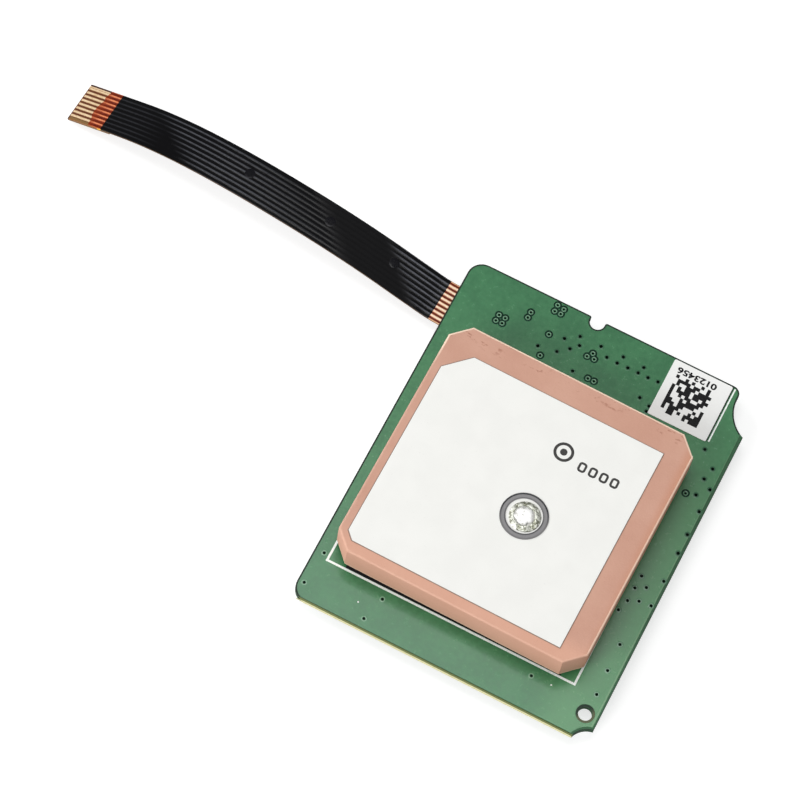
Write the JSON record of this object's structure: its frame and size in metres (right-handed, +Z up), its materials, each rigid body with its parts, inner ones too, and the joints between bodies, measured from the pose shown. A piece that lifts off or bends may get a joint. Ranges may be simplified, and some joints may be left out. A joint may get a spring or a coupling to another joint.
{
  "type": "gps module",
  "caption": "Satellite positioning receiver module: green circuit board with a ceramic patch antenna on top, a clip-on shield underneath and a flat flex cable with a bare contact tail.",
  "frame": {"origin": "middle of the circuit board's outline, on the flat outside of the shield cover that the module rests on", "axes": "+Z up through the board to the antenna; +Y along the board's long side, towards the end that carries the label; the flex cable leaves towards -X"},
  "size_m": [0.0704, 0.0378, 0.0068],
  "materials": {
    "board_laminate": "semi-gloss green solder mask",
    "antenna_ceramic": "matt pressed ceramic",
    "fired_silver": "matt white fired silver",
    "foam_tape": "matt black foam tape",
    "ring_ink": "matt grey print",
    "solder": "bright solder",
    "tinned_pin": "tinned",
    "label_paper": "satin white",
    "shield_tinplate": "tinned sheet, satin",
    "package_black": "moulded, matt",
    "package_ceramic": "white ceramic",
    "capacitor_ceramic": "fired ceramic",
    "resistor_body": "glazed black top",
    "inductor_ferrite": "dark ferrite",
    "flex_film": "semi-gloss black film",
    "stiffener_film": "amber film",
    "gold_plating": "gold plated copper"
  },
  "bodies": {
    "root": {"adhesive_tape": "foam_tape", "band_filter": "package_ceramic", "capacitor_1": "capacitor_ceramic", "capacitor_2": "capacitor_ceramic", "capacitor_3": "capacitor_ceramic", "capacitor_4": "capacitor_ceramic", "capacitor_5": "capacitor_ceramic", "capacitor_6": "capacitor_ceramic", "capacitor_7": "capacitor_ceramic", "capacitor_8": "capacitor_ceramic", "circuit_board": "board_laminate", "clock_crystal": "package_ceramic", "clock_oscillator": "package_ceramic", "feed_pin": "tinned_pin", "feed_solder_bottom": "solder", "feed_solder_top": "solder", "flash_memory": "package_black", "flex_cable": "flex_film", "flex_contact_1": "gold_plating", "flex_contact_2": "gold_plating", "flex_contact_3": "gold_plating", "flex_contact_4": "gold_plating", "flex_contact_5": "gold_plating", "flex_contact_6": "gold_plating", "flex_contact_7": "gold_plating", "flex_contact_8": "gold_plating", "flex_joint_1": "solder", "flex_joint_2": "solder", "flex_joint_3": "solder", "flex_joint_4": "solder", "flex_joint_5": "solder", "flex_joint_6": "solder", "flex_joint_7": "solder", "flex_joint_8": "solder", "flex_stiffener": "stiffener_film", "inductor_1": "inductor_ferrite", "inductor_2": "inductor_ferrite", "inductor_3": "inductor_ferrite", "label": "label_paper", "low_noise_amplifier": "package_black", "patch_ceramic": "antenna_ceramic", "patch_electrode": "fired_silver", "patch_ground_plate": "fired_silver", "receiver_chip": "package_black", "resistor_1": "resistor_body", "resistor_2": "resistor_body", "resistor_3": "resistor_body", "resistor_4": "resistor_body", "resistor_5": "resistor_body", "shield_cover": "shield_tinplate", "shield_frame": "shield_tinplate", "solder_dam_ring": "ring_ink", "voltage_regulator": "package_black"}
  },
  "joints": []
}
